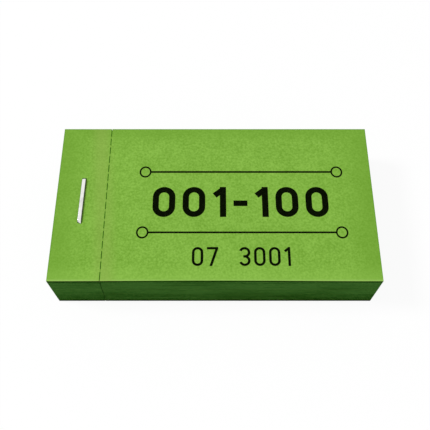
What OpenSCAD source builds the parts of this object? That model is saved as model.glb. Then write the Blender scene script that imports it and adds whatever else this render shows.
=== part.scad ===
// Ticket book: a block of paper tickets, each joined to its stub by a row of cuts, held by one staple.
// Millimetres. X runs along the book with the stub at the low end, Y across it, Z up from the underside.

/* [Book] */
// Length of the book, stub and ticket together
book_len = 80; // [60:1:120]
// Width of the book
book_w = 43; // [30:1:60]
// Thickness of one sheet of paper
sheet_t = 0.136; // [0.08:0.002:0.2]
// Air between two sheets that lie on each other
sheet_gap = 0.01; // [0.005:0.005:0.03]
// Sheets in each packet below the single tickets
packet_sheets = 5; // [3:1:8]

/* [Perforation] */
// Distance from the stapled end to the middle of the row of cuts
perf_from_end = 12.6; // [10:0.1:20]
// Aimed distance from one paper tie to the next, evened out over the width
tie_pitch_aim = 2.7; // [2:0.1:5]
// Width of the paper tie left between two cuts
tie_w = 0.7; // [0.3:0.05:1.2]
// Width of a cut
cut_w = 0.15; // [0.1:0.05:0.5]

/* [Staple] */
// Distance from the stapled end to the middle of the wire
staple_from_end = 6.5; // [4:0.1:8]
// Length of the crown over the outside of both legs
crown_len = 13; // [10:0.1:14]
// Width of the flat wire
wire_w = 0.95; // [0.6:0.05:1.2]
// Thickness of the flat wire
wire_t = 0.6; // [0.4:0.05:0.8]
// Inside radius of the four bends
bend_r = 0.25; // [0.1:0.05:0.5]
// Number of top sheets that the crown is pressed into
crown_sink_sheets = 1; // [0:1:4]
// Gap left between the tips of the two folded legs
tip_gap = 1.6; // [0.6:0.1:5]
// Length of the slanted cut at the tip of each leg
tip_cut = 0.5; // [0.1:0.1:0.8]
// Clearance between the wire and the paper on each side
wire_clear = 0.04; // [0.02:0.01:0.1]

/* [Hidden] */
$fn = 48;

paper_green = [0.5, 0.7, 0.26];
stub_green = [0.45, 0.65, 0.23];
steel_grey = [0.8, 0.8, 0.82];

// The top leaves are single tickets, and the ones below lie in packets.
single_leaves = 10;
packets = 18;
sheets = single_leaves + packets * packet_sheets;
sheet_pitch = sheet_t + sheet_gap;
book_top = sheets * sheet_pitch - sheet_gap;

// The ties reach from the edge of the stub to the edge of the ticket, which is the fold line.
end_x = -book_len / 2;
stub_edge_x = end_x + perf_from_end - cut_w / 2;
fold_x = end_x + perf_from_end + cut_w / 2;
cuts = round(book_w / tie_pitch_aim);
tie_pitch = book_w / cuts;

// The crown rests on the first sheet that it isn't pressed into.
crown_z = book_top - crown_sink_sheets * sheet_pitch;
// The folded legs lie inside the lowest sheets, so that nothing stands out under the book.
seat_sheets = ceil(wire_t / sheet_pitch);
fold_top_z = seat_sheets * sheet_pitch;
fold_low_z = fold_top_z - wire_t;

staple_x = end_x + staple_from_end;
leg_out = crown_len / 2;
leg_in = leg_out - wire_t;
bend_out_r = bend_r + wire_t;
bend_y = leg_out - bend_out_r;
tip_y = tip_gap / 2;

function numbered(word, i) = str(word, i < 10 ? "_0" : "_", i);

// Sheets are counted from the underside, and tickets and packets from the top.
function sheet_z(s) = s * sheet_pitch;
function single_sheet(k) = sheets - k;
function packet_low_sheet(p) = (packets - p) * packet_sheets;

function tie_corners(y) = [
    [stub_edge_x, y - tie_w / 2],
    [fold_x, y - tie_w / 2],
    [fold_x, y + tie_w / 2],
    [stub_edge_x, y + tie_w / 2]
];

stub_outline = concat(
    [[end_x, -book_w / 2], [stub_edge_x, -book_w / 2]],
    [for (i = [1 : cuts - 1]) each tie_corners(i * tie_pitch - book_w / 2)],
    [[stub_edge_x, book_w / 2], [end_x, book_w / 2]]
);

function beside_crown(s) = s >= sheets - crown_sink_sheets;
function beside_folded_leg(s) = s < seat_sheets;
function beside_bend(s) = sheet_z(s) + sheet_t > crown_z - bend_r || sheet_z(s) < fold_top_z + bend_r;
function slit_inner_y(s) =
    beside_crown(s) ? 0
    : beside_folded_leg(s) ? tip_y
    : beside_bend(s) ? bend_y
    : leg_in;

module both_sides() {
    children();
    mirror([0, 1]) children();
}

// The opening in one stub for the wire: a slot under the crown and over the folded legs, else two slits.
module wire_opening(s) {
    low_y = slit_inner_y(s) - wire_clear;
    high_y = leg_out + wire_clear;
    both_sides()
        translate([staple_x - wire_w / 2 - wire_clear, low_y])
            square([wire_w + 2 * wire_clear, high_y - low_y]);
}

module one_stub(s) {
    translate([0, 0, sheet_z(s)])
        linear_extrude(sheet_t)
            difference() {
                polygon(stub_outline);
                wire_opening(s);
            }
}

module one_ticket(s) {
    translate([fold_x, -book_w / 2, sheet_z(s)])
        cube([book_len / 2 - fold_x, book_w, sheet_t]);
}

module stub(k) {
    color(stub_green) one_stub(single_sheet(k));
}

module stub_packet(p) {
    color(stub_green)
        for (i = [0 : packet_sheets - 1]) one_stub(packet_low_sheet(p) + i);
}

module ticket(k) {
    color(paper_green) one_ticket(single_sheet(k));
}

module ticket_packet(p) {
    color(paper_green)
        for (i = [0 : packet_sheets - 1]) one_ticket(packet_low_sheet(p) + i);
}

// One quarter of a bend, in the corner where both coordinates are positive.
module bend() {
    intersection() {
        difference() {
            circle(bend_out_r);
            circle(bend_r);
        }
        square(bend_out_r);
    }
}

// Half of the staple's outline seen along X: half the crown, one leg, its two bends and its folded end.
module half_staple_outline() {
    crown_top = crown_z + wire_t;
    translate([0, crown_z]) square([bend_y, wire_t]);
    translate([bend_y, crown_top - bend_out_r]) bend();
    translate([leg_in, fold_low_z + bend_out_r])
        square([wire_t, crown_top - fold_low_z - 2 * bend_out_r]);
    translate([bend_y, fold_low_z + bend_out_r]) mirror([0, 1]) bend();
    polygon([
        [tip_y, fold_top_z],
        [tip_y + tip_cut, fold_low_z],
        [bend_y, fold_low_z],
        [bend_y, fold_top_z]
    ]);
}

module staple() {
    color(steel_grey)
        translate([staple_x - wire_w / 2, 0, 0])
            rotate([90, 0, 90])
                linear_extrude(wire_w) {
                    half_staple_outline();
                    mirror([1, 0]) half_staple_outline();
                }
}

staple();
for (k = [1 : single_leaves]) {
    stub(k);
    ticket(k);
}
for (p = [1 : packets]) {
    stub_packet(p);
    ticket_packet(p);
}
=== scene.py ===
"""Looks of a stapled ticket book: a block of dyed paper leaves, each with a printed ticket and a stub.

Every size is in millimetres until a mesh is finished, and a finished mesh is in metres.
"""

from __future__ import annotations

import logging
import math
import random
from collections.abc import Iterable
from dataclasses import dataclass, field, replace
from enum import Enum
from typing import TypeVar

import bmesh
import bpy
from mathutils import Color, Matrix, Vector

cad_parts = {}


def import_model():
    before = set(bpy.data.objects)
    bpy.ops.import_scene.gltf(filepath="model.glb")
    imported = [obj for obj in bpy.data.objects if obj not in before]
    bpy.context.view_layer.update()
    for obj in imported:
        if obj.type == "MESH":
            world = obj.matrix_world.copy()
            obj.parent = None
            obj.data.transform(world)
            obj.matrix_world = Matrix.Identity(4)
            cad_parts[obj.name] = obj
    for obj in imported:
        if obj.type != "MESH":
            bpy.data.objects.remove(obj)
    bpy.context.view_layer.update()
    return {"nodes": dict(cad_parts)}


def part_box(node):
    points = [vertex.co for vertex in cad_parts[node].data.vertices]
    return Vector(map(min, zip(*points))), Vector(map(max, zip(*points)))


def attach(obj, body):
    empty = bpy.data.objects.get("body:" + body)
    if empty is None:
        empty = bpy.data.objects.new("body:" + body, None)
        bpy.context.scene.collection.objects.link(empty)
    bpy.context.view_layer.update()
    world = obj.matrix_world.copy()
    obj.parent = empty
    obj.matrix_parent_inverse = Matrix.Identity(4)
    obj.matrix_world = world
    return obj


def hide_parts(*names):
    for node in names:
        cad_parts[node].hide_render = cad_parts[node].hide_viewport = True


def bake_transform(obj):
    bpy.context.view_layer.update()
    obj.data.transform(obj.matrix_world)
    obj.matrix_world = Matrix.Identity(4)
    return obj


LOG = logging.getLogger("ticket_book")
SEED = 17
MM = 0.001
# Points closer than the first length are one point, and places closer than the second are the same.
WELD = 1e-5
NEAR = 1e-4

Colour = tuple[float, float, float, float]
Socket = bpy.types.NodeSocket
Material = bpy.types.Material
Piece = bpy.types.Object
Mesh = bmesh.types.BMesh
Point = bmesh.types.BMVert
Edge = bmesh.types.BMEdge
Face = bmesh.types.BMFace
Item = TypeVar("Item")

WHITE: Colour = (1.0, 1.0, 1.0, 1.0)


def linear(red: int, green: int, blue: int) -> Colour:
    """Turn a colour as seen on a screen into the linear numbers that a shader takes.

    Args:
        red: Red from 0 to 255.
        green: Green from 0 to 255.
        blue: Blue from 0 to 255.

    Returns:
        The linear colour with full alpha.
    """
    full = 255
    screen = Color((red / full, green / full, blue / full))
    return (*screen.from_srgb_to_scene_linear(), 1.0)


def unique(items: Iterable[Item]) -> list[Item]:
    """The items without repeats, in the order in which they first come."""
    return list(dict.fromkeys(items))


class Cuts(Enum):
    """How much of the row of cuts a sheet shows."""

    ALL = "every cut"
    ENDS = "only the cuts that run out of the two long edges"


class PaperSide(Enum):
    """The material slots of a paper mesh."""

    FACE = 0
    EDGE = 1
    TIE = 2


@dataclass(frozen=True)
class Pattern:
    """A noise pattern: its repeats in a metre along each axis, its finer layers and their strength."""

    scale: tuple[float, float, float]
    layers: float = 2.0
    strength: float = 0.5


@dataclass(frozen=True)
class Fade:
    """A soft step from a first to a last value, over a range of a pattern or of a place."""

    start: float
    end: float
    first: float = 0.0
    last: float = 1.0


@dataclass(frozen=True)
class Relief:
    """A bump: its depth in metres, and how strongly it bends the light."""

    depth: float
    strength: float


class Nodes:
    """A small helper that adds linked shader nodes to one material or world."""

    def __init__(self, owner: Material | bpy.types.World) -> None:
        """Keep the owner and clear its node tree.

        Args:
            owner: The material or world whose nodes are written.
        """
        owner.use_nodes = True
        self.owner = owner
        self.tree = owner.node_tree
        self.tree.nodes.clear()

    def add(self, kind: str, **settings: object) -> bpy.types.Node:
        """Add a node and set its properties.

        Args:
            kind: The node's type name without the leading ShaderNode.
            **settings: Properties of the node by name.

        Returns:
            The new node.
        """
        node = self.tree.nodes.new("ShaderNode" + kind)
        for name, value in settings.items():
            setattr(node, name, value)
        return node

    def feed(self, target: Socket, value: object) -> None:
        """Link a socket to another one, or set it to a plain value.

        Args:
            target: The input that takes the value.
            value: An output socket, a number, a vector or a colour.
        """
        if isinstance(value, Socket):
            self.tree.links.new(value, target)
        else:
            target.default_value = value

    def place(self, axis: str) -> Socket:
        """One object coordinate in metres.

        Args:
            axis: The axis's letter.

        Returns:
            The socket of the coordinate.
        """
        split = self.add("SeparateXYZ")
        self.feed(split.inputs["Vector"], self.add("TexCoord").outputs["Object"])
        return split.outputs[axis]

    def attribute(self, name: str) -> Socket:
        """The socket of a number that the mesh keeps for each point."""
        return self.add("Attribute", attribute_name=name).outputs["Fac"]

    def noise(self, pattern: Pattern) -> Socket:
        """A noise pattern on stretched object coordinates.

        Args:
            pattern: The pattern.

        Returns:
            The socket of the noise, from 0 to 1.
        """
        mapping = self.add("Mapping")
        mapping.inputs["Scale"].default_value = pattern.scale
        self.feed(mapping.inputs["Vector"], self.add("TexCoord").outputs["Object"])
        noise = self.add("TexNoise")
        noise.inputs["Scale"].default_value = 1.0
        noise.inputs["Detail"].default_value = pattern.layers
        noise.inputs["Roughness"].default_value = pattern.strength
        self.feed(noise.inputs["Vector"], mapping.outputs["Vector"])
        return noise.outputs["Fac"]

    def math(self, operation: str, *values: object) -> Socket:
        """Calculate with values.

        Args:
            operation: The name of the operation, as the Math node has it.
            *values: Its operands, each a number or a socket.

        Returns:
            The socket of the result.
        """
        node = self.add("Math", operation=operation)
        for target, value in zip(node.inputs, values):
            self.feed(target, value)
        return node.outputs["Value"]

    def ramp(self, source: Socket, fade: Fade) -> Socket:
        """Map a pattern or a place through a soft step.

        Args:
            source: The pattern or the place.
            fade: The step.

        Returns:
            The socket of the mapped value.
        """
        node = self.add("MapRange", interpolation_type="SMOOTHSTEP")
        node.inputs["From Min"].default_value = fade.start
        node.inputs["From Max"].default_value = fade.end
        node.inputs["To Min"].default_value = fade.first
        node.inputs["To Max"].default_value = fade.last
        self.feed(node.inputs["Value"], source)
        return node.outputs["Result"]

    def mix(self, share: Socket, first: object, second: object) -> Socket:
        """Mix two colours.

        Args:
            share: The socket that gives the second colour's share.
            first: A colour or the socket of one.
            second: A colour or the socket of one.

        Returns:
            The socket of the mixed colour.
        """
        node = self.add("Mix", data_type="RGBA")
        self.feed(node.inputs["Factor"], share)
        for name, value in (("A", first), ("B", second)):
            self.feed([s for s in node.inputs if s.name == name and s.type == "RGBA"][0], value)
        return [s for s in node.outputs if s.type == "RGBA"][0]

    def bump(self, height: Socket, relief: Relief) -> Socket:
        """A bump from a height pattern.

        Args:
            height: The pattern.
            relief: The bump's depth and strength.

        Returns:
            The socket of the bent normal.
        """
        node = self.add("Bump")
        node.inputs["Distance"].default_value = relief.depth
        node.inputs["Strength"].default_value = relief.strength
        self.feed(node.inputs["Height"], height)
        return node.outputs["Normal"]

    def seen_directly(self) -> Socket:
        """Tell rays that see a surface from rays that only light one.

        Returns:
            The socket that is 1 for rays from the camera, from gloss and through clear matter, else 0.
        """
        path = self.add("LightPath")
        plain = self.math("MAXIMUM", path.outputs["Is Camera Ray"], path.outputs["Is Glossy Ray"])
        return self.math("MAXIMUM", plain, path.outputs["Is Transmission Ray"])

    def blend(self, share: object, first: Socket, second: Socket) -> Socket:
        """Mix two shaders.

        Args:
            share: The second shader's share, a number or a socket.
            first: The socket of a shader.
            second: The socket of a shader.

        Returns:
            The socket of the mixed shader.
        """
        node = self.add("MixShader")
        for target, value in zip(node.inputs, (share, first, second)):
            self.feed(target, value)
        return node.outputs["Shader"]

    def diffuse(self, colour: Colour) -> Socket:
        """A plain matt shader.

        Args:
            colour: Its colour.

        Returns:
            The shader's socket.
        """
        node = self.add("BsdfDiffuse")
        node.inputs["Color"].default_value = colour
        return node.outputs["BSDF"]

    def sky(self, strength: float) -> Socket:
        """A white background.

        Args:
            strength: How bright it is.

        Returns:
            The background's socket.
        """
        node = self.add("Background")
        node.inputs["Color"].default_value = WHITE
        node.inputs["Strength"].default_value = strength
        return node.outputs["Background"]

    def end(self, shader: Socket, kind: str = "OutputMaterial") -> Material | bpy.types.World:
        """End the tree in a shader and an output of its kind, and hand back its owner."""
        self.feed(self.add(kind).inputs["Surface"], shader)
        return self.owner

    def surface(self, **sockets: object) -> Material:
        """End the tree in one principled shader.

        Args:
            **sockets: Values or sockets by input name, with spaces written as underscores.

        Returns:
            The finished material.
        """
        shader = self.add("BsdfPrincipled")
        for name, value in sockets.items():
            self.feed(shader.inputs[name.replace("_", " ")], value)
        return self.end(shader.outputs["BSDF"])


@dataclass
class BookSizes:
    """The book's own sizes in millimetres, as the solids have them, and how askew the staple sits."""

    length: float
    width: float
    sheet: float
    pitch: float
    singles: int
    packets: int
    packet_sheets: int
    fold_x: float
    staple_x: float
    crown: float
    crown_top: float
    wire_width: float
    seat_low: float
    cut: float = 0.15
    cuts: int = 16
    tie: float = 0.7
    wire: float = 0.6
    bend: float = 0.25
    tip_gap: float = 1.6
    tip_cut: float = 0.5
    clearance: float = 0.04
    lean: float = 0.014
    slant: float = 0.38

    @staticmethod
    def box(node: str) -> tuple[Vector, Vector]:
        """The lowest and highest corner of a solid, to a tenth of a micrometre."""
        low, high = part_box(node)
        return tuple(Vector([round(value / MM, 4) for value in corner]) for corner in (low, high))

    @classmethod
    def from_frame(cls, nodes: list[str]) -> BookSizes:
        """Read what the solids' boxes tell.

        Args:
            nodes: The names of the solids.

        Returns:
            The sizes.
        """
        packets = sum(name.startswith("ticket_packet_") for name in nodes)
        singles = sum(name.startswith("ticket_") for name in nodes) - packets
        stub_low, _ = cls.box("stub_01")
        top_low, top_high = cls.box("ticket_01")
        next_low, _ = cls.box("ticket_02")
        packet_low, packet_high = cls.box("ticket_packet_01")
        wire_low, wire_high = cls.box("staple")
        pitch = top_low.z - next_low.z
        return cls(
            length=top_high.x - stub_low.x,
            width=top_high.y - top_low.y,
            sheet=top_high.z - top_low.z,
            pitch=pitch,
            singles=singles,
            packets=packets,
            packet_sheets=round((packet_high.z - packet_low.z) / pitch),
            fold_x=top_low.x,
            staple_x=(wire_low.x + wire_high.x) / 2,
            crown=wire_high.y - wire_low.y,
            crown_top=wire_high.z,
            wire_width=wire_high.x - wire_low.x,
            seat_low=wire_low.z,
        )

    @property
    def sheets(self) -> int:
        """Number of sheets in the book."""
        return self.singles + self.packets * self.packet_sheets

    @property
    def top(self) -> float:
        """Height of the top sheet's upper side."""
        return (self.sheets - 1) * self.pitch + self.sheet

    @property
    def crown_z(self) -> float:
        """Height of the crown's underside."""
        return self.crown_top - self.wire

    @property
    def seat_top(self) -> float:
        """Height of the upper side of the folded legs."""
        return self.seat_low + self.wire

    @property
    def leg_in(self) -> float:
        """Distance from the middle of the staple to the inner side of a leg."""
        return self.crown / 2 - self.wire

    @property
    def bend_y(self) -> float:
        """Distance from the middle of the staple to the middle of a bend."""
        return self.leg_in - self.bend

    @property
    def opening_half(self) -> float:
        """Half the width of the wire's opening along the book."""
        return self.wire_width / 2 + self.clearance

    def tie_ys(self) -> list[float]:
        """The middles of the paper ties across the book."""
        step = self.width / self.cuts
        return [i * step - self.width / 2 for i in range(1, self.cuts)]

    def opening_inner_y(self, sheet: int) -> float:
        """Where the wire's opening in one stub starts, from the middle of the staple.

        Args:
            sheet: The sheet's number, counted from the underside.

        Returns:
            The distance in millimetres, or 0 for one long opening.
        """
        low = sheet * self.pitch
        high = low + self.sheet
        if high > self.crown_z + self.sheet / 2:
            return 0.0
        if high < self.seat_top:
            return self.tip_gap / 2 - self.clearance
        if high > self.crown_z - self.bend:
            return self.bend_y - self.slant - self.clearance
        if low < self.seat_top + self.bend:
            return self.bend_y - self.clearance
        return self.leg_in - self.clearance


@dataclass(frozen=True)
class PaperFinish:
    """Uncoated paper, dyed through, with a mottled grain, loose fibres, darker rims, and painted light
    and shade.

    Margins, rims, shifts and reaches are in millimetres, and what has no unit is a share.
    """

    # pale and deep are the paper's mottled colours; pale also paints light along the front, and deep
    # paints shade towards the ends and the back.
    pale: Colour = linear(144, 194, 78)
    deep: Colour = linear(108, 158, 44)
    # The colour of loose fibres, also used for the painted highlight on the front rim.
    fibre_and_highlight: Colour = linear(150, 192, 92)
    # Darker colour for the line along the rims of the ends and the back.
    rim_colour: Colour = linear(58, 120, 16)
    rubbed: Colour = linear(141, 171, 76)
    # A deeper green tint beside each cut.
    cut_tint: Colour = linear(94, 170, 26)
    # The cut edge is darker than the face: its own colour with the shade between the sheets painted
    # in. edge_foot paints contact shade on the lowest sheets' edges.
    edge_pale: Colour = linear(78, 136, 56)
    edge_deep: Colour = linear(37, 94, 20)
    edge_foot: Colour = linear(3, 42, 1)

    grain: Pattern = Pattern((1900, 1900, 1900), strength=0.6)
    cloud: Pattern = Pattern((230, 230, 230))
    cloud_share: float = 0.3
    mottling: Fade = Fade(0.3, 1.0)
    # Each leaf's tone, with its painted shade, also deepens its face a little.
    leaf_shade: Fade = Fade(0.0, 1.0, 0.0, 0.12)
    lint: Pattern = Pattern((5200, 900, 900), strength=0.4)
    linting: Fade = Fade(0.64, 0.78, 0.0, 0.6)
    roughness: float = 0.88
    face_specular: float = 0.2
    face_relief: Relief = Relief(0.00003, 0.35)

    # Painted shade towards the ends and the back of the top face.
    end_margin: float = 11.0
    end_shade: float = 0.6
    back_margin: float = 5.5
    back_shade: float = 0.55
    # A darker line along the rims of the ends and the back.
    dark_rim: float = 0.4
    rim_darkening: float = 0.3
    # Painted light along the front.
    front_margin: float = 5.5
    front_light: float = 0.35
    # Painted highlight on the front rim.
    front_rim: float = 0.7
    front_highlight: float = 0.9

    rubbed_shift: float = -0.85
    rubbed_lean: float = 0.09
    rubbed_reach: float = 4.0
    rubbing: float = 0.45
    # A deeper green tint beside each cut.
    cut_tint_reach: float = 0.3
    cut_tinting: float = 0.8

    streak: Pattern = Pattern((45, 45, 4600))
    fleck: Pattern = Pattern((900, 900, 5200), strength=0.6)
    patch: Pattern = Pattern((60, 60, 160))
    fleck_share: float = 0.8
    patch_share: float = 0.5
    streaking: Fade = Fade(0.8, 1.5, -0.75, 0.75)
    edge_fade: Fade = Fade(0.0, 1.0)
    foot_fade: Fade = Fade(1.0, 2.0)
    edge_roughness: float = 0.92
    edge_relief: Relief = Relief(0.00003, 0.4)

    tie_wear: Fade = Fade(0.3, 0.7, 0.0, 0.5)
    tie_specular: float = 0.15
    tie_relief: Relief = Relief(0.00004, 0.5)

    def face(self, sizes: BookSizes) -> Material:
        """The flat side of a sheet, with painted light and shade, darker rims and the marks of the
        fold.

        Args:
            sizes: The book's sizes.

        Returns:
            The material.
        """
        nodes = Nodes(bpy.data.materials.new("dyed_paper_face"))
        grain = nodes.noise(self.grain)
        colour = self.dyed(nodes, grain)
        colour = self.painted_light_and_shade(nodes, colour, sizes)
        colour = self.folded(nodes, colour, sizes)
        return nodes.surface(
            Base_Color=colour,
            Roughness=self.roughness,
            Specular_IOR_Level=self.face_specular,
            Normal=nodes.bump(grain, self.face_relief),
        )

    def dyed(self, nodes: Nodes, grain: Socket) -> Socket:
        """The dyed paper itself, mottled, with each leaf's tone, which holds painted shade as well,
        and loose fibres.

        Args:
            nodes: The material's nodes.
            grain: The paper's grain.

        Returns:
            The socket of the colour.
        """
        mottle = nodes.math("MULTIPLY_ADD", nodes.noise(self.cloud), self.cloud_share, grain)
        colour = nodes.mix(nodes.ramp(mottle, self.mottling), self.deep, self.pale)
        shade = nodes.ramp(nodes.attribute("sheet_tone_and_shade"), self.leaf_shade)
        colour = nodes.mix(shade, colour, self.deep)
        return nodes.mix(nodes.ramp(nodes.noise(self.lint), self.linting), colour, self.fibre_and_highlight)

    def painted_light_and_shade(self, nodes: Nodes, colour: Socket, sizes: BookSizes) -> Socket:
        """Painted shade towards the ends and the back, darker rims there, and painted light and a
        painted highlight along the front edge.

        Args:
            nodes: The material's nodes.
            colour: The paper's colour.
            sizes: The book's sizes.

        Returns:
            The socket of the changed colour.
        """
        off_middle = nodes.math("ABSOLUTE", nodes.place("X"))
        across = nodes.place("Y")
        end = sizes.length / 2 * MM
        side = sizes.width / 2 * MM
        # Painted shade towards the ends and the back.
        end_and_back_shade = nodes.math(
            "MAXIMUM",
            nodes.ramp(off_middle, Fade(end - self.end_margin * MM, end, 0.0, self.end_shade)),
            nodes.ramp(across, Fade(side - self.back_margin * MM, side, 0.0, self.back_shade)),
        )
        # A darker line along the rims of the ends and the back.
        darkened_rim = nodes.math(
            "MAXIMUM",
            nodes.ramp(off_middle, Fade(end - self.dark_rim * MM, end, 0.0, self.rim_darkening)),
            nodes.ramp(across, Fade(side - self.dark_rim * MM, side, 0.0, self.rim_darkening)),
        )
        # Painted light along the front.
        front_lit = nodes.ramp(across, Fade(-side, self.front_margin * MM - side, self.front_light, 0.0))
        # Painted highlight on the front rim.
        wear = nodes.ramp(across, Fade(-side, self.front_rim * MM - side, self.front_highlight, 0.0))
        tints = ((end_and_back_shade, self.deep), (darkened_rim, self.rim_colour), (front_lit, self.pale), (wear, self.fibre_and_highlight))
        for share, tint in tints:
            colour = nodes.mix(share, colour, tint)
        return colour

    def folded(self, nodes: Nodes, colour: Socket, sizes: BookSizes) -> Socket:
        """The marks of the fold: a rubbed band along it, and a deeper green tint beside each cut.

        Args:
            nodes: The material's nodes.
            colour: The paper's colour.
            sizes: The book's sizes.

        Returns:
            The socket of the changed colour.
        """
        along = nodes.place("X")
        across = nodes.place("Y")
        side = sizes.width / 2 * MM
        leaned = nodes.math("MULTIPLY_ADD", across, self.rubbed_lean, along)
        rub_x = (sizes.fold_x + self.rubbed_shift) * MM
        off_rub = nodes.math("ABSOLUTE", nodes.math("SUBTRACT", leaned, rub_x))
        rubbing = nodes.ramp(off_rub, Fade(0.0, self.rubbed_reach * MM, self.rubbing, 0.0))
        colour = nodes.mix(rubbing, colour, self.rubbed)
        # A deeper green tint beside each cut.
        row_x = (sizes.fold_x - sizes.cut / 2) * MM
        off_row = nodes.math("ABSOLUTE", nodes.math("SUBTRACT", along, row_x))
        cut_tinting = nodes.ramp(off_row, Fade(0.0, self.cut_tint_reach * MM, self.cut_tinting, 0.0))
        off_tie = nodes.math("PINGPONG", nodes.math("ADD", across, side), side / sizes.cuts)
        beside_cut = nodes.ramp(off_tie, Fade(0.0, sizes.tie * MM))
        return nodes.mix(nodes.math("MULTIPLY", cut_tinting, beside_cut), colour, self.cut_tint)

    def edge(self) -> Material:
        """The cut side of a sheet, with thin streaks along the block and each sheet's tone: painted
        shade under the top edge, darker towards the bottom, and painted contact shade at the foot.

        Returns:
            The material.
        """
        nodes = Nodes(bpy.data.materials.new("cut_paper_edge"))
        fleck = nodes.noise(self.fleck)
        drawn = nodes.noise(self.streak)
        drawn = nodes.math("MULTIPLY_ADD", nodes.noise(self.patch), self.patch_share, drawn)
        drawn = nodes.math("MULTIPLY_ADD", fleck, self.fleck_share, drawn)
        # Each sheet's tone darkens its edge: painted shade under the top edge, darker towards the
        # bottom, and painted contact shade at the foot.
        tone = nodes.math("ADD", nodes.attribute("sheet_tone_and_shade"), nodes.ramp(drawn, self.streaking))
        colour = nodes.mix(nodes.ramp(tone, self.edge_fade), self.edge_pale, self.edge_deep)
        colour = nodes.mix(nodes.ramp(tone, self.foot_fade), colour, self.edge_foot)
        return nodes.surface(
            Base_Color=colour,
            Roughness=self.edge_roughness,
            Specular_IOR_Level=0.0,
            Normal=nodes.bump(fleck, self.edge_relief),
        )

    def tie(self) -> Material:
        """The creased paper between two cuts.

        Returns:
            The material.
        """
        nodes = Nodes(bpy.data.materials.new("creased_paper_tie"))
        grain = nodes.noise(self.grain)
        return nodes.surface(
            Base_Color=nodes.mix(nodes.ramp(grain, self.tie_wear), self.deep, self.rubbed),
            Roughness=self.roughness,
            Specular_IOR_Level=self.tie_specular,
            Normal=nodes.bump(grain, self.tie_relief),
        )


@dataclass(frozen=True)
class InkFinish:
    """Black printing ink that has sunk into paper."""

    dark: Colour = linear(8, 13, 3)
    worn: Colour = linear(21, 28, 12)
    grain: Pattern = Pattern((3400, 3400, 3400), 3.0, 0.6)
    wear: Fade = Fade(0.45, 0.75)
    roughness: float = 0.9

    def material(self) -> Material:
        """The ink, a little thinner where the paper's grain shows through.

        Returns:
            The material.
        """
        nodes = Nodes(bpy.data.materials.new("printing_ink"))
        colour = nodes.mix(nodes.ramp(nodes.noise(self.grain), self.wear), self.dark, self.worn)
        return nodes.surface(Base_Color=colour, Roughness=self.roughness, Specular_IOR_Level=0.0)


@dataclass(frozen=True)
class WireFinish:
    """Bright drawn steel wire, with painted shade on its narrow sides."""

    bright: Colour = linear(238, 238, 234)
    dull: Colour = linear(214, 214, 211)
    # Painted shade on the narrow sides of the wire.
    side: Colour = linear(96, 98, 96)
    marks: Pattern = Pattern((9000, 420, 9000), 3.0, 0.6)
    marks_roughness: Fade = Fade(0.3, 0.7, 0.14, 0.22)
    marks_relief: Relief = Relief(0.000006, 0.3)
    tarnish: Pattern = Pattern((700, 700, 700))
    tarnishing: Fade = Fade(0.4, 0.75)
    side_fade: Fade = Fade(0.1, 0.6)
    side_roughness: Fade = Fade(0.1, 0.6, 0.1, 0.6)

    def material(self) -> Material:
        """The wire, with drawing marks along it and painted shade on its narrow sides.

        Returns:
            The material.
        """
        nodes = Nodes(bpy.data.materials.new("drawn_steel_wire"))
        marks = nodes.noise(self.marks)
        turned = nodes.attribute("wire_side")
        tarnish = nodes.ramp(nodes.noise(self.tarnish), self.tarnishing)
        colour = nodes.mix(tarnish, self.bright, self.dull)
        return nodes.surface(
            # The narrow sides are darkened by painted shade.
            Base_Color=nodes.mix(nodes.ramp(turned, self.side_fade), colour, self.side),
            Metallic=1.0,
            Roughness=nodes.math(
                "MAXIMUM",
                nodes.ramp(marks, self.marks_roughness),
                nodes.ramp(turned, self.side_roughness),
            ),
            Normal=nodes.bump(marks, self.marks_relief),
        )


@dataclass(frozen=True)
class FloorFinish:
    """A pale studio floor that shows white to the camera and keeps a soft shadow."""

    bounce: float = 0.4
    glow_share: float = 0.93

    def material(self) -> Material:
        """The floor, which lights the book less than it glows.

        Returns:
            The material.
        """
        nodes = Nodes(bpy.data.materials.new("studio_floor"))
        plain = nodes.diffuse((self.bounce, self.bounce, self.bounce, 1.0))
        glow = nodes.add("Emission").outputs["Emission"]
        pale = nodes.blend(self.glow_share, nodes.diffuse(WHITE), glow)
        return nodes.end(nodes.blend(nodes.seen_directly(), plain, pale))


def finish_object(bm: Mesh, name: str, materials: list[Material]) -> Piece:
    """Turn a mesh in millimetres into an object in metres at the origin.

    Args:
        bm: The mesh, which is freed.
        name: The piece's name.
        materials: Its material slots in order.

    Returns:
        The new object, linked to the scene.
    """
    bmesh.ops.recalc_face_normals(bm, faces=bm.faces[:])
    bmesh.ops.scale(bm, vec=Vector((MM, MM, MM)), verts=bm.verts[:])
    mesh = bpy.data.meshes.new(name)
    bm.to_mesh(mesh)
    bm.free()
    for material in materials:
        mesh.materials.append(material)
    piece = bpy.data.objects.new(name, mesh)
    bpy.context.scene.collection.objects.link(piece)
    return piece


def round_shading(bm: Mesh, sharpest: float) -> None:
    """Shade faces smoothly, and keep the edges that turn further than an angle sharp.

    Args:
        bm: The mesh.
        sharpest: The angle in degrees.
    """
    for face in bm.faces:
        face.smooth = True
    for edge in bm.edges:
        joined = len(edge.link_faces) == 2
        edge.smooth = joined and edge.calc_face_angle(0.0) < math.radians(sharpest)


def of_kind(items: Iterable[object], kind: type[Item]) -> list[Item]:
    """Those of an operator's results that are of one kind."""
    return [item for item in items if isinstance(item, kind)]


def faces_at(points: Iterable[Point]) -> list[Face]:
    """The faces that some points belong to."""
    return unique(face for point in points for face in point.link_faces)


def thicken(bm: Mesh, faces: list[Face], height: float) -> list[Point]:
    """Pull flat faces up to a closed body.

    Args:
        bm: The mesh.
        faces: The faces, which stay as the underside.
        height: How far the upper side goes.

    Returns:
        The points of the upper side.
    """
    upper = of_kind(bmesh.ops.extrude_face_region(bm, geom=faces)["geom"], Point)
    bmesh.ops.translate(bm, vec=Vector((0, 0, height)), verts=upper)
    return upper


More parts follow.
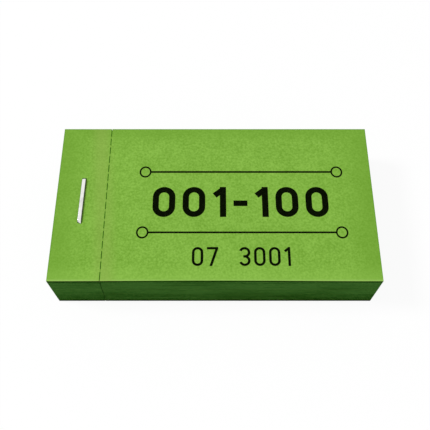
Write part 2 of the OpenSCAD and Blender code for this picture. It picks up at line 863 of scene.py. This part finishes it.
@dataclass
class Sheet:
    """One sheet of paper, from its stub to the free end of its ticket."""

    sizes: BookSizes
    number: int
    cuts: Cuts
    start_x: float
    end_x: float
    shift: Vector
    drift: float
    tone: float
    bow: float
    bend_length: float
    bend_steps: int = 10
    flat_steps: int = 8

    @property
    def fold(self) -> float:
        """Where this sheet's row of cuts ends along the book."""
        return self.sizes.fold_x + self.drift

    def columns(self) -> list[float]:
        """Where the sheet's mesh has a row of points along the book.

        Returns:
            The places, from the stub to the free end.
        """
        s = self.sizes
        bend_step = self.bend_length / self.bend_steps
        bend = [s.fold_x + i * bend_step for i in range(1, self.bend_steps)]
        bend_end = s.fold_x + self.bend_length
        flat_step = (s.length / 2 - bend_end) / self.flat_steps
        flat = [bend_end + i * flat_step for i in range(self.flat_steps + 1)]
        opening = [s.staple_x - s.opening_half, s.staple_x + s.opening_half]
        every = [-s.length / 2, *opening, self.fold - s.cut, self.fold, *bend, *flat]
        return [x for x in every if self.start_x - NEAR <= x <= self.end_x + NEAR]

    def cut_spans(self) -> list[tuple[float, float]]:
        """Where the cuts lie across the book.

        Returns:
            The two ends of each cut, from front to back.
        """
        s = self.sizes
        stops = [-s.width / 2]
        for y in s.tie_ys():
            stops += [y - s.tie / 2, y + s.tie / 2]
        stops.append(s.width / 2)
        spans = list(zip(stops[0::2], stops[1::2]))
        return spans if self.cuts is Cuts.ALL else [spans[0], spans[-1]]

    def opening_spans(self) -> list[tuple[float, float]]:
        """Where the openings for the wire lie across the book.

        Returns:
            The two ends of each opening, from front to back.
        """
        inner = self.sizes.opening_inner_y(self.number)
        outer = self.sizes.crown / 2 + self.sizes.clearance
        return [(-outer, outer)] if inner == 0.0 else [(-outer, -inner), (inner, outer)]

    def add_to(self, bm: Mesh, tone_layer: bmesh.types.BMLayerItem) -> None:
        """Build the sheet in a mesh.

        Args:
            bm: The mesh that takes the sheet.
            tone_layer: The layer that keeps each sheet's tone, a random shade with painted shade
                added.
        """
        kept = self.cut_out(bm, self.lay(bm))
        upper = thicken(bm, kept, self.sizes.sheet)
        whole = unique([point for face in kept for point in face.verts] + upper)
        self.dress(faces_at(whole))
        bmesh.ops.translate(bm, vec=self.shift, verts=whole)
        for point in whole:
            point[tone_layer] = self.tone

    def lay(self, bm: Mesh) -> list[Point]:
        """Lay the sheet's underside as a flat grid.

        Args:
            bm: The mesh that takes it.

        Returns:
            The grid's points.
        """
        s = self.sizes
        columns = self.columns()
        spans = self.cut_spans() + (self.opening_spans() if self.start_x < s.staple_x else [])
        rows = sorted({round(y, 6) for span in spans for y in span} | {-s.width / 2, s.width / 2})
        steps = (len(columns) - 1, len(rows) - 1)
        grid = bmesh.ops.create_grid(bm, x_segments=steps[0], y_segments=steps[1], size=0.5)
        for point in grid["verts"]:
            column = round((point.co.x + 0.5) * steps[0])
            row = round((point.co.y + 0.5) * steps[1])
            point.co = Vector((columns[column], rows[row], self.number * s.pitch))
            if row == 0:
                point.co.y += self.bow * math.cos(math.pi * point.co.x / s.length) ** 2
            self.follow_wire(point)
        return grid["verts"]

    def follow_wire(self, point: Point) -> None:
        """Shift a point beside the wire's opening, because the staple sits askew.

        Args:
            point: A point of the sheet.
        """
        s = self.sizes
        off_wire = point.co.x - s.staple_x
        if abs(abs(off_wire) - s.opening_half) > NEAR:
            return
        front = self.opening_spans()[0][0]
        beside_crown = s.opening_inner_y(self.number) == 0.0
        if beside_crown and off_wire < 0 and abs(point.co.y - front) < NEAR:
            point.co.y += s.slant
        point.co.x += s.lean * point.co.y

    def cut_out(self, bm: Mesh, points: list[Point]) -> list[Face]:
        """Take the cells out of the grid that lie in a cut or in an opening for the wire.

        Args:
            bm: The mesh.
            points: The grid's points.

        Returns:
            The cells that stay.
        """
        kept, gaps = [], []
        for face in faces_at(points):
            group = gaps if self.is_gap(face.calc_center_median()) else kept
            group.append(face)
        bmesh.ops.delete(bm, geom=gaps, context="FACES")
        return kept

    def is_gap(self, middle: Vector) -> bool:
        """Say whether a cell of the sheet lies in a cut or in an opening for the wire.

        Args:
            middle: The middle of the cell.

        Returns:
            True where there is no paper.
        """
        s = self.sizes
        spans = []
        if self.fold - s.cut < middle.x < self.fold:
            spans = self.cut_spans()
        elif abs(middle.x - s.staple_x) < s.opening_half:
            spans = self.opening_spans()
        return any(low < middle.y < high for low, high in spans)

    def dress(self, faces: list[Face]) -> None:
        """Give the sheet's flat sides, its cut edges and its ties their material slots.

        Args:
            faces: The sheet's faces.
        """
        for face in faces:
            face.normal_update()
            side = PaperSide.EDGE
            if abs(face.normal.z) > 0.5:
                off_fold = self.fold - face.calc_center_median().x
                side = PaperSide.TIE if 0 < off_fold < self.sizes.cut else PaperSide.FACE
            face.material_index = side.value


@dataclass
class PaperBlock:
    """All the paper leaves of the book, with the small shifts and random shades that tell them apart,
    and the painted shade of their cut edges.
    """

    sizes: BookSizes
    materials: list[Material]
    wander: float = 0.008
    fold_room: float = 0.012
    row_wander: float = 0.08
    deep_row_wander: float = 0.012
    cover_power: int = 8
    row_drift: float = -0.65
    front_bow: float = 0.16
    bend_length: float = 7.0
    # Painted shade on the cut edges: a dark line under the top edge, a darker band below it, darker
    # towards the bottom and darkest at the foot; shade_wander is a random spread.
    rim_sheets: int = 6
    rim_tone: float = 1.5
    foot_sheets: int = 10
    top_shade: float = 0.6
    unshaded_depth: float = 0.28
    shade_wander: float = 0.3
    sharpest: float = 40.0
    luck: random.Random = field(default_factory=lambda: random.Random(SEED))

    def depth(self, number: int) -> float:
        """How deep a sheet lies, from 0 for the top one to 1 for the lowest."""
        return 1 - number / (self.sizes.sheets - 1)

    def tone(self, number: int) -> float:
        """How deep the colour of one sheet's cut edge is: painted shade with a random spread.

        Args:
            number: The sheet's number, counted from the underside.

        Returns:
            A share from 0 to 1, and up to 2 for the lowest sheets.
        """
        spread = self.luck.uniform(-self.shade_wander, self.shade_wander)
        # Painted contact shade at the lowest sheets.
        if number < self.foot_sheets:
            return 2 - number / self.foot_sheets
        # Painted shade under the top edge.
        if number >= self.sizes.sheets - self.rim_sheets:
            return self.rim_tone
        depth = self.depth(number)
        # Painted shade: a darker band below the top, and darker towards the bottom.
        top_shaded = self.top_shade * max(0.0, 1 - depth / self.unshaded_depth)
        shaded = max(0.0, (depth - self.unshaded_depth) / (1 - self.unshaded_depth))
        return min(1.0, max(0.0, max(top_shaded, shaded) + spread))

    def sheet(self, number: int, cuts: Cuts) -> Sheet:
        """One whole sheet with its own small shift and shade.

        Args:
            number: The sheet's number, counted from the underside.
            cuts: How much of the row of cuts it shows.

        Returns:
            The sheet.
        """
        half = self.sizes.length / 2
        depth = self.depth(number)
        shift = Vector((self.luck.uniform(-1, 1), self.luck.uniform(-1, 1), 0)) * self.wander
        drift = self.row_drift * depth
        if number < self.sizes.sheets - 1:
            near_cover = max(depth, 1 - depth) ** self.cover_power
            row_wander = max(self.row_wander * near_cover, self.deep_row_wander)
            drift += self.luck.uniform(-1, 1) * row_wander
        return Sheet(
            sizes=self.sizes,
            number=number,
            cuts=cuts,
            start_x=-half,
            end_x=half,
            shift=shift,
            drift=drift,
            tone=self.tone(number),
            bow=self.front_bow * (1 - depth),
            bend_length=self.bend_length,
        )

    def mesh_piece(self, name: str, sheets: list[Sheet]) -> Piece:
        """Build some sheets as one piece.

        Args:
            name: The piece's name.
            sheets: The sheets in it.

        Returns:
            The new object.
        """
        bm = bmesh.new()
        tone_layer = bm.verts.layers.float.new("sheet_tone_and_shade")
        for sheet in sheets:
            sheet.add_to(bm, tone_layer)
        bmesh.ops.recalc_face_normals(bm, faces=bm.faces[:])
        round_shading(bm, self.sharpest)
        return finish_object(bm, name, self.materials)

    def top_leaf(self) -> list[Piece]:
        """The top sheet, as a ticket that folds up and the stub that it leaves.

        Returns:
            The two new objects.
        """
        fold_x = self.sizes.fold_x
        whole = self.sheet(self.sizes.sheets - 1, Cuts.ALL)
        stub = replace(whole, end_x=fold_x, shift=Vector())
        ticket = replace(whole, start_x=fold_x, shift=Vector((self.fold_room, 0, 0)))
        stub_piece = self.mesh_piece("stub_sheet_01", [stub])
        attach(stub_piece, "stub_block")
        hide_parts("stub_01")
        ticket_piece = self.mesh_piece("ticket_sheet_01", [ticket])
        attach(ticket_piece, "ticket_01")
        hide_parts("ticket_01")
        return [stub_piece, ticket_piece]

    def bending_leaf(self, name: str, ticket: str, stub: str, numbers: list[int]) -> Piece:
        """A leaf of one or more sheets, with a finer mesh just past its row of cuts.

        Args:
            name: The piece's name.
            ticket: The solid of its ticket part.
            stub: The solid of its stub part.
            numbers: Its sheets' numbers, with the top sheet first.

        Returns:
            The new object.
        """
        # Only the top sheet of a leaf and the underside of the book can show the whole row of cuts.
        shown = (numbers[0], 0)
        sheets = [self.sheet(n, Cuts.ALL if n in shown else Cuts.ENDS) for n in numbers]
        piece = self.mesh_piece(name, sheets)
        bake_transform(piece)
        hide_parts(ticket, stub)
        return piece

    def build(self) -> list[Piece]:
        """Build every leaf, from the top ticket to the underside.

        Returns:
            The new objects.
        """
        s = self.sizes
        pieces = self.top_leaf()
        words = ("leaf", "ticket", "stub")
        for k in range(2, s.singles + 1):
            names = [f"{word}_{k:02d}" for word in words]
            pieces.append(self.bending_leaf(*names, [s.sheets - k]))
        for p in range(1, s.packets + 1):
            names = [f"{word}_packet_{p:02d}" for word in words]
            top = (s.packets - p + 1) * s.packet_sheets - 1
            pieces.append(self.bending_leaf(*names, [top - i for i in range(s.packet_sheets)]))
        return pieces


@dataclass(frozen=True)
class Run:
    """A straight stretch of a stroke."""

    length: float


@dataclass(frozen=True)
class Bow:
    """A round stretch of a stroke, which turns left for a positive angle in degrees."""

    radius: float
    degrees: float


@dataclass(frozen=True)
class Stroke:
    """One stroke of print: the start of its middle line, its heading in degrees and its stretches."""

    start: tuple[float, float]
    heading: float
    moves: tuple[Run | Bow, ...]


@dataclass
class Pen:
    """A flat pen that lays strokes of ink of one breadth into a mesh."""

    bm: Mesh
    breadth: float
    film: float = 0.004
    lap: float = 0.0004
    arc_step: float = 12.0

    def fresh(self, known: set[Point]) -> list[Point]:
        """The mesh's points that aren't among those known before."""
        return [point for point in self.bm.verts if point not in known]

    def lay(self, strokes: list[Stroke], foot: float, head: float) -> list[Point]:
        """Lay the strokes of one figure, each a hair higher than the one before where they cross.

        Args:
            strokes: The strokes.
            foot: The line across the page that the figure is trimmed to below.
            head: The line that it is trimmed to above.

        Returns:
            The figure's points.
        """
        before = set(self.bm.verts)
        for i, stroke in enumerate(strokes):
            known = set(self.bm.verts)
            self.draw(stroke)
            bmesh.ops.remove_doubles(self.bm, verts=self.fresh(known), dist=NEAR)
            self.trim(known, foot, -1)
            self.trim(known, head, 1)
            thicken(self.bm, faces_at(self.fresh(known)), self.film + i * self.lap)
        return self.fresh(before)

    def trim(self, known: set[Point], line: float, way: int) -> None:
        """Cut off what a flat stroke has beyond a line across the page.

        Args:
            known: The points that belong to other strokes.
            line: The line's place.
            way: 1 to cut off what lies above it, and -1 for what lies below.
        """
        points = self.fresh(known)
        edges = unique(edge for point in points for edge in point.link_edges)
        bmesh.ops.bisect_plane(
            self.bm,
            geom=[*points, *edges, *faces_at(points)],
            dist=WELD,
            plane_co=Vector((0, line, 0)),
            plane_no=Vector((0, way, 0)),
            clear_outer=True,
        )

    def draw(self, stroke: Stroke) -> None:
        """Draw one flat stroke by moving the pen's edge along it.

        Args:
            stroke: The stroke.
        """
        heading = math.radians(stroke.heading)
        side = Vector((-math.sin(heading), math.cos(heading), 0)) * self.breadth / 2
        middle = Vector((*stroke.start, 0))
        ends = [self.bm.verts.new(middle + way * side) for way in (-1, 1)]
        tip = self.bm.edges.new(ends)
        for move in stroke.moves:
            if isinstance(move, Run):
                tip = self.pull(tip, heading, move.length)
            else:
                tip = self.swing(tip, heading, move)
                heading += math.radians(move.degrees)

    def pull(self, tip: Edge, heading: float, length: float) -> Edge:
        """Move the pen straight on.

        Args:
            tip: The pen's edge.
            heading: Its way in radians.
            length: How far it goes.

        Returns:
            The pen's edge at its new place.
        """
        points = of_kind(bmesh.ops.extrude_edge_only(self.bm, edges=[tip])["geom"], Point)
        way = Vector((math.cos(heading), math.sin(heading), 0)) * length
        bmesh.ops.translate(self.bm, vec=way, verts=points)
        return [edge for edge in points[0].link_edges if edge.other_vert(points[0]) is points[1]][0]

    def swing(self, tip: Edge, heading: float, bow: Bow) -> Edge:
        """Move the pen round a bow.

        Args:
            tip: The pen's edge.
            heading: Its way in radians.
            bow: The bow.

        Returns:
            The pen's edge at its new place.
        """
        left = Vector((-math.sin(heading), math.cos(heading), 0))
        middle = (tip.verts[0].co + tip.verts[1].co) / 2
        turned = bmesh.ops.spin(
            self.bm,
            geom=[tip, *tip.verts],
            cent=middle + left * math.copysign(bow.radius, bow.degrees),
            axis=Vector((0, 0, 1)),
            angle=math.radians(bow.degrees),
            steps=math.ceil(abs(bow.degrees) / self.arc_step),
        )
        return of_kind(turned["geom_last"], Edge)[0]


@dataclass(frozen=True)
class Numerals:
    """Upright numerals with strokes of one breadth and round bows, of one height and width.

    Slopes and turns are in degrees. Each other place or length in a figure is a share of its reach,
    its rise or a bow's radius.
    """

    height: float
    width: float
    breadth: float
    gap: float
    one_stem: float = 0.42
    one_slope: float = 38.0
    three_bar: float = 0.3
    three_hook: float = 160.0
    four_bar: float = 0.27
    four_stem: float = 0.72
    four_rise: float = 0.62
    five_bow: float = 0.29
    tail_turn: float = 140.0
    seven_foot: float = 0.25
    eight_low: float = 0.27
    dash_rise: float = 0.44
    dash_reach: float = 0.85

    @property
    def reach(self) -> float:
        """Width of a numeral between the middle lines of its strokes."""
        return self.width - self.breadth

    @property
    def rise(self) -> float:
        """Height of a numeral between the middle lines of its strokes."""
        return self.height - self.breadth

    def nought(self) -> list[Stroke]:
        """A 0.

        Returns:
            Its stroke, a long ring.
        """
        radius = self.reach / 2
        side = Run(self.rise - self.reach)
        return [Stroke((self.reach, radius), 90, (side, Bow(radius, 180), side, Bow(radius, 180)))]

    def one(self) -> list[Stroke]:
        """A 1.

        Returns:
            Its strokes, a stem and a slanted flag.
        """
        stem = self.reach * self.one_stem
        flag = (stem + self.breadth / 4) / math.cos(math.radians(self.one_slope))
        return [
            Stroke((stem, -self.breadth), 90, (Run(self.height + self.breadth),)),
            Stroke((stem, self.rise), 180 + self.one_slope, (Run(flag),)),
        ]

    def two(self) -> list[Stroke]:
        """A 2.

        Returns:
            Its strokes, a bow that runs straight down to the foot, and the foot.
        """
        radius = self.reach / 2
        top = self.rise - radius
        far = math.hypot(radius, top)
        slope = math.degrees(math.atan2(top, radius) - math.asin(radius / far))
        down = Run(math.sqrt(far**2 - radius**2))
        return [
            Stroke((0, top), 90, (Bow(radius, slope - 270), down)),
            Stroke((-self.breadth / 2, 0), 0, (Run(self.width),)),
        ]

    def three(self) -> list[Stroke]:
        """A 3.

        Returns:
            Its strokes, two bows that meet in a short bar.
        """
        radius = self.rise / 4
        middle = self.reach - radius
        bar = Run(radius * self.three_bar)
        bow = Bow(radius, -90 - self.three_hook)
        hook = math.radians(self.three_hook)
        start = (middle + radius * math.cos(hook), 3 * radius + radius * math.sin(hook))
        return [
            Stroke(start, self.three_hook - 90, (bow, bar)),
            Stroke((middle - bar.length, 2 * radius), 0, (bar, bow)),
        ]

    def four(self) -> list[Stroke]:
        """A 4.

        Returns:
            Its strokes, a slant, a bar and a short stem.
        """
        bar = self.rise * self.four_bar
        stem = self.reach * self.four_stem
        slope = math.atan2(self.rise + self.breadth - bar, stem)
        slant = Run((stem + self.breadth) / math.cos(slope))
        start = (stem + self.breadth, bar + (stem + self.breadth) * math.tan(slope))
        return [
            Stroke(start, 180 + math.degrees(slope), (slant,)),
            Stroke((-self.breadth / 2, bar), 0, (Run(self.width),)),
            Stroke((stem, -self.breadth), 90, (Run(self.rise * self.four_rise + self.breadth),)),
        ]

    def five(self) -> list[Stroke]:
        """A 5.

        Returns:
            Its strokes, a bar, a short side and a bow.
        """
        radius = self.rise * self.five_bow
        half = self.breadth / 2
        bar_end = self.reach + half / 2
        flat = self.reach - radius
        return [
            Stroke((bar_end, self.rise), 180, (Run(bar_end + half),)),
            Stroke((0, self.height), 270, (Run(self.height - 2 * radius + half),)),
            Stroke((-half, 2 * radius), 0, (Run(flat + half), Bow(radius, -180), Run(flat))),
        ]

    def six(self) -> list[Stroke]:
        """A 6.

        Returns:
            Its strokes, a ring and a side that bows over it.
        """
        radius = self.reach / 2
        side = (Run(self.rise - self.reach), Bow(radius, -self.tail_turn))
        return [
            Stroke((self.reach, radius), 90, (Bow(radius, 360),)),
            Stroke((0, radius), 90, side),
        ]

    def seven(self) -> list[Stroke]:
        """A 7.

        Returns:
            Its strokes, a bar and a slant.
        """
        run = self.reach * (1 - self.seven_foot)
        fall = self.rise + self.breadth
        slope = math.degrees(math.atan2(fall, run))
        return [
            Stroke((-self.breadth / 2, self.rise), 0, (Run(self.width),)),
            Stroke((self.reach, self.rise), 180 + slope, (Run(math.hypot(fall, run)),)),
        ]

    def eight(self) -> list[Stroke]:
        """An 8.

        Returns:
            Its strokes, a small ring on a larger one.
        """
        low = self.rise * self.eight_low
        high = self.rise / 2 - low
        return [
            Stroke((2 * low, low), 90, (Bow(low, 360),)),
            Stroke((low + high, self.rise - high), 90, (Bow(high, 360),)),
        ]

    def nine(self) -> list[Stroke]:
        """A 9.

        Returns:
            Its strokes, a ring and a side that bows under it.
        """
        radius = self.reach / 2
        start = (self.reach, self.rise - radius)
        side = (Run(self.rise - self.reach), Bow(radius, -self.tail_turn))
        return [
            Stroke(start, 90, (Bow(radius, 360),)),
            Stroke(start, 270, side),
        ]

    def dash(self) -> list[Stroke]:
        """The stroke of a dash."""
        return [Stroke((0, self.rise * self.dash_rise), 0, (Run(self.reach * self.dash_reach),))]

    def row(self, bm: Mesh, text: str, middle: float, base: float) -> None:
        """Print a row of numerals.

        Args:
            bm: The mesh that takes them.
            text: The numerals, and dashes between them.
            middle: The middle of the row along the ticket.
            base: The line across the ticket that they stand on.
        """
        drawn = {
            "0": self.nought,
            "1": self.one,
            "2": self.two,
            "3": self.three,
            "4": self.four,
            "5": self.five,
            "6": self.six,
            "7": self.seven,
            "8": self.eight,
            "9": self.nine,
            "-": self.dash,
        }
        pen = Pen(bm, self.breadth)
        half = self.breadth / 2
        printed = []
        cursor = 0.0
        for figure in text:
            points = pen.lay(drawn[figure](), -half, self.rise + half)
            left = min(point.co.x for point in points)
            right = max(point.co.x for point in points)
            bmesh.ops.translate(bm, vec=Vector((cursor - left, half, 0)), verts=points)
            cursor += right - left + self.gap
            printed += points
        shift = Vector((middle - (cursor - self.gap) / 2, base, 0))
        bmesh.ops.translate(bm, vec=shift, verts=printed)


@dataclass
class Print:
    """The black print on one ticket: two ruled lines with ring ends, and plain numbers."""

    sizes: BookSizes
    ink: Material
    middle_x: float = 6.73
    ring_x: float = 24.58
    ring_radius: float = 1.33
    ring_height: float = 1.08
    ring_lap: float = 0.1
    ring_line: float = 0.415
    upper_y: float = 8.33
    upper_line: float = 0.53
    lower_y: float = -8.78
    lower_line: float = 0.495
    heavy: Numerals = Numerals(height=8.5, width=5.7, breadth=1.58, gap=1.85)
    heavy_x: float = 6.45
    heavy_y: float = -4.57
    light: Numerals = Numerals(height=4.95, width=2.75, breadth=0.63, gap=0.88)
    light_y: float = -17.64
    series_x: float = -2.35
    number_x: float = 12.1
    series: str = "07"
    first_number: int = 3000

    def ruled_line(self, bm: Mesh, y: float, breadth: float) -> None:
        """Print one ruled line with an open ring at each end.

        Args:
            bm: The mesh that takes it.
            y: Its place across the ticket.
            breadth: Its breadth.
        """
        radius = self.ring_radius
        reach = self.ring_x - radius
        rule_stroke = Stroke((-reach, 0), 0, (Run(2 * reach),))
        ring_stroke = Stroke((radius, 0), 90, (Bow(radius, 360),))
        rule = Pen(bm, breadth).lay([rule_stroke], -2 * radius, 2 * radius)
        bmesh.ops.translate(bm, vec=Vector((self.middle_x, y, 0)), verts=rule)
        for side in (-1, 1):
            ring = Pen(bm, self.ring_line).lay([ring_stroke], -2 * radius, 2 * radius)
            bmesh.ops.scale(bm, vec=Vector((1, self.ring_height, 1 + self.ring_lap)), verts=ring)
            middle = Vector((self.middle_x + side * self.ring_x, y, 0))
            bmesh.ops.translate(bm, vec=middle, verts=ring)

    def build(self, name: str, body: str, sheet: int, number: int) -> Piece:
        """Print one ticket.

        Args:
            name: The piece's name.
            body: The body that the ticket moves with.
            sheet: The sheet's number, counted from the underside.
            number: The ticket's number, counted from the top.

        Returns:
            The new object.
        """
        bm = bmesh.new()
        self.ruled_line(bm, self.upper_y, self.upper_line)
        self.ruled_line(bm, self.lower_y, self.lower_line)
        self.heavy.row(bm, f"{number:03d}-{self.sizes.sheets}", self.heavy_x, self.heavy_y)
        self.light.row(bm, self.series, self.series_x, self.light_y)
        self.light.row(bm, str(self.first_number + number), self.number_x, self.light_y)
        base = sheet * self.sizes.pitch + self.sizes.sheet
        bmesh.ops.translate(bm, vec=Vector((0, 0, base)), verts=bm.verts[:])
        piece = finish_object(bm, name, [self.ink])
        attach(piece, body)
        return piece

    def build_all(self) -> list[Piece]:
        """Print the single tickets and the top ticket of each packet.

        Returns:
            The new objects.
        """
        s = self.sizes
        tickets = [(f"{k:02d}", k) for k in range(1, s.singles + 1)]
        for p in range(1, s.packets + 1):
            tickets.append((f"packet_{p:02d}", s.singles + (p - 1) * s.packet_sheets + 1))
        return [
            self.build(f"print_{label}", f"ticket_{label}", s.sheets - number, number)
            for label, number in tickets
        ]


@dataclass
class Staple:
    """The flat-wire staple: crown, two legs, four bends and two folded ends."""

    sizes: BookSizes
    wire: Material
    bend_steps: int = 8
    corner_angle: float = 50.0
    edge_round: float = 0.09
    edge_steps: int = 3
    sharpest: float = 60.0

    def build(self) -> Piece:
        """Build the staple by drawing one wire section along its path and mirroring it.

        Returns:
            The new object.
        """
        s = self.sizes
        quarter = Matrix.Rotation(math.pi / 2, 3, "X")
        outer = s.bend + s.wire
        bm = bmesh.new()
        section = bmesh.ops.create_grid(bm, x_segments=1, y_segments=1, size=0.5)["verts"]
        bmesh.ops.scale(bm, vec=Vector((s.wire_width, s.wire, 1)), verts=section)
        bmesh.ops.rotate(bm, verts=section, cent=Vector(), matrix=quarter)
        crown_middle = Vector((s.staple_x, 0, s.crown_z + s.wire / 2))
        bmesh.ops.translate(bm, vec=crown_middle, verts=section)
        face = bm.faces[:][0]
        face = self.draw(bm, face, Vector((0, s.bend_y, 0)))
        face = self.turn(bm, face, Vector((s.staple_x, s.bend_y, s.crown_top - outer)))
        face = self.draw(bm, face, Vector((0, 0, s.seat_low - s.crown_top + 2 * outer)))
        face = self.turn(bm, face, Vector((s.staple_x, s.bend_y, s.seat_low + outer)))
        face = self.draw(bm, face, Vector((0, s.tip_gap / 2 - s.bend_y, 0)))
        for point in face.verts:
            if point.co.z < s.seat_top - s.wire / 2:
                point.co.y += s.tip_cut
        self.mirror(bm)
        self.set_askew(bm)
        self.round_corners(bm)
        piece = finish_object(bm, "staple_wire", [self.wire])
        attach(piece, "stub_block")
        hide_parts("staple")
        return piece

    @staticmethod
    def draw(bm: Mesh, face: Face, way: Vector) -> Face:
        """Pull the wire's end straight on.

        Args:
            bm: The staple's mesh.
            face: The wire's end.
            way: How far and in which direction.

        Returns:
            The new end.
        """
        pulled = bmesh.ops.extrude_discrete_faces(bm, faces=[face])["faces"][0]
        bmesh.ops.translate(bm, vec=way, verts=pulled.verts[:])
        return pulled

    def turn(self, bm: Mesh, face: Face, middle: Vector) -> Face:
        """Bend the wire's end by a quarter turn about the staple's long side.

        Args:
            bm: The staple's mesh.
            face: The wire's end.
            middle: The middle of the bend.

        Returns:
            The new end.
        """
        bent = bmesh.ops.spin(
            bm,
            geom=[face, *face.edges, *face.verts],
            cent=middle,
            axis=Vector((1, 0, 0)),
            angle=-math.pi / 2,
            steps=self.bend_steps,
        )
        return of_kind(bent["geom_last"], Face)[0]

    @staticmethod
    def mirror(bm: Mesh) -> None:
        """Add the staple's other half and join the two at the middle of the crown.

        Args:
            bm: The mesh of one half.
        """
        half = bm.verts[:] + bm.edges[:] + bm.faces[:]
        bmesh.ops.mirror(bm, geom=half, axis="Y", merge_dist=WELD)
        inside = [f for f in bm.faces if all(abs(p.co.y) < WELD for p in f.verts)]
        bmesh.ops.delete(bm, geom=inside, context="FACES_ONLY")
        bmesh.ops.remove_doubles(bm, verts=bm.verts[:], dist=WELD)
        bmesh.ops.recalc_face_normals(bm, faces=bm.faces[:])

    def set_askew(self, bm: Mesh) -> None:
        """Lean the staple, and slant the front bend of its crown down to the first sheet under it.

        Args:
            bm: The staple's mesh.
        """
        s = self.sizes
        low = s.crown_z - s.bend
        for point in bm.verts:
            if point.co.y < NEAR - s.bend_y and point.co.z > low:
                share = min(1.0, (point.co.z - low) / s.bend)
                off_right = 0.5 - (point.co.x - s.staple_x) / s.wire_width
                point.co.y += s.slant * share * off_right
            point.co.x += s.lean * point.co.y

    def round_corners(self, bm: Mesh) -> None:
        """Round the wire's long corners and mark its narrow sides, which the wire's material darkens
        as painted shade.

        Args:
            bm: The staple's mesh.
        """
        corner = math.radians(self.corner_angle)
        bmesh.ops.bevel(
            bm,
            geom=[edge for edge in bm.edges if edge.calc_face_angle(0.0) > corner],
            offset=self.edge_round,
            offset_type="OFFSET",
            affect="EDGES",
            segments=self.edge_steps,
            profile=0.5,
            material=-1,
            clamp_overlap=True,
        )
        round_shading(bm, self.sharpest)
        side = bm.verts.layers.float.new("wire_side")
        for point in bm.verts:
            point.normal_update()
            point[side] = abs(point.normal.x)


@dataclass
class Studio:
    """The floor, the lamp, the sky and the camera."""

    floor_size: float = 4000.0
    floor_drop: float = 0.02
    camera_place: tuple[float, float, float] = (0.045, -73.516, 156.092)
    camera_elevation: float = 63.844
    lens: float = 52.98
    sensor: float = 36.0
    nearest: float = 5.0
    sky: float = 0.45
    key_place: tuple[float, float, float] = (-1920.0, 240.0, 2040.0)
    key_power: float = 60.0
    key_size: float = 750.0

    def floor(self) -> None:
        """Lay the floor under the book."""
        bm = bmesh.new()
        bmesh.ops.create_grid(bm, x_segments=1, y_segments=1, size=self.floor_size / 2)
        bmesh.ops.translate(bm, vec=Vector((0, 0, -self.floor_drop)), verts=bm.verts[:])
        finish_object(bm, "floor", [FloorFinish().material()])

    def light(self) -> None:
        """Hang the soft key lamp, and set a sky that lights less than it shows."""
        lamp = bpy.data.lights.new("key", "AREA")
        lamp.shape = "DISK"
        lamp.size = self.key_size * MM
        lamp.energy = self.key_power
        key = bpy.data.objects.new("key", lamp)
        key.location = Vector(self.key_place) * MM
        key.rotation_euler = (-key.location).to_track_quat("-Z", "Y").to_euler()
        bpy.context.scene.collection.objects.link(key)
        nodes = Nodes(bpy.data.worlds.new("studio"))
        shown = nodes.blend(nodes.seen_directly(), nodes.sky(self.sky), nodes.sky(1.0))
        bpy.context.scene.world = nodes.end(shown, "OutputWorld")

    def camera(self) -> None:
        """Place the camera at the photograph's angle."""
        lens = bpy.data.cameras.new("camera")
        lens.lens = self.lens
        lens.sensor_width = self.sensor
        lens.clip_start = self.nearest * MM
        camera = bpy.data.objects.new("camera", lens)
        camera.location = Vector(self.camera_place) * MM
        camera.rotation_euler = (math.radians(90 - self.camera_elevation), 0, 0)
        bpy.context.scene.collection.objects.link(camera)
        bpy.context.scene.camera = camera

    def build(self) -> None:
        """Set up the whole studio."""
        self.floor()
        self.light()
        self.camera()
        bpy.context.scene.view_settings.view_transform = "Standard"


def main() -> None:
    """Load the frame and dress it."""
    logging.basicConfig(level=logging.INFO, format="%(message)s")
    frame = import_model()
    sizes = BookSizes.from_frame(list(frame["nodes"]))
    paper = PaperFinish()
    pieces = PaperBlock(sizes, [paper.face(sizes), paper.edge(), paper.tie()]).build()
    pieces += Print(sizes, InkFinish().material()).build_all()
    pieces.append(Staple(sizes, WireFinish().material()).build())
    Studio().build()
    for piece in pieces:
        LOG.info("%s: %d faces", piece.name, len(piece.data.polygons))


if __name__ == "__main__":
    main()
